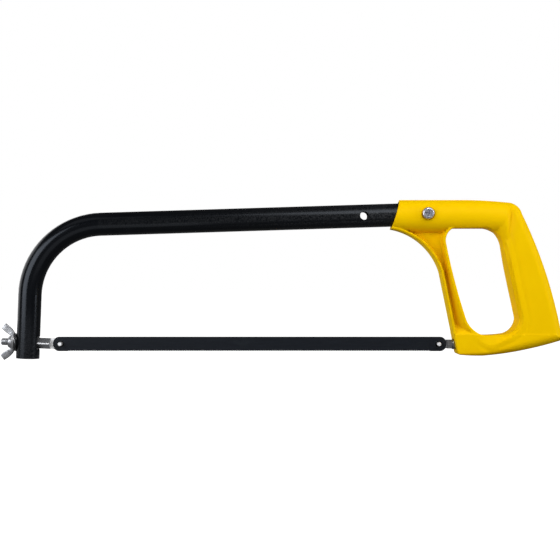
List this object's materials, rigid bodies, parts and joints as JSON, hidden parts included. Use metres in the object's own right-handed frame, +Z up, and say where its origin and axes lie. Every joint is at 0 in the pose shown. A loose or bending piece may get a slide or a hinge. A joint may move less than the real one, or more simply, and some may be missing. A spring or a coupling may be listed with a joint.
{
  "type": "hacksaw",
  "caption": "Hacksaw with a bent tube frame, a toothed blade hung on two pins, a wing nut tensioner and a closed D-shaped handle.",
  "frame": {"origin": "axis of the rear blade pin, in the middle plane of the tube frame", "axes": "+X along the blade from the wing nut to the handle, +Y across the saw away from the blade's side, +Z up from the teeth to the tube"},
  "size_m": [0.4462, 0.0296, 0.1273],
  "materials": {
    "tube_paint": "satin black powder coat",
    "handle_yellow": "glossy yellow moulding",
    "holder_steel": "dull plated steel",
    "pin_steel": "bright turned steel",
    "screw_zinc": "bright zinc plate",
    "washer_black": "black oxide",
    "nut_zinc": "bright zinc plate",
    "rod_steel": "plated steel",
    "blade_paint": "blue-black finish"
  },
  "bodies": {
    "frame": {"frame_tube": "tube_paint", "handle": "handle_yellow", "rear_blade_holder": "holder_steel", "rear_blade_pin": "pin_steel", "handle_screw": "screw_zinc", "handle_screw_nut": "screw_zinc", "thrust_washer": "washer_black"},
    "wing_nut": {"wing_nut": "nut_zinc"},
    "tension_rod": {"tension_rod": "rod_steel", "front_blade_pin": "pin_steel"},
    "blade": {"blade": "blade_paint"}
  },
  "joints": [
    {"name": "wing_nut_turn", "type": "hinge", "parent": "frame", "child": "wing_nut", "pos_m": [-0.33723, 0, 0.00157], "axis": [-0.999, 0, 0.0436], "range_deg": [0, 360]},
    {"name": "tension_slide", "type": "slide", "parent": "frame", "child": "tension_rod", "axis": [0.999, 0, -0.0436], "range_m": [0, 0.001]},
    {"name": "blade_lift_off", "type": "slide", "parent": "frame", "child": "blade", "axis": [0, -1, 0], "range_m": [0, 0.02]}
  ],
  "couplings": [
    {"joint": "tension_slide", "follows": "wing_nut_turn", "m_per_rad": 0.00015915}
  ]
}
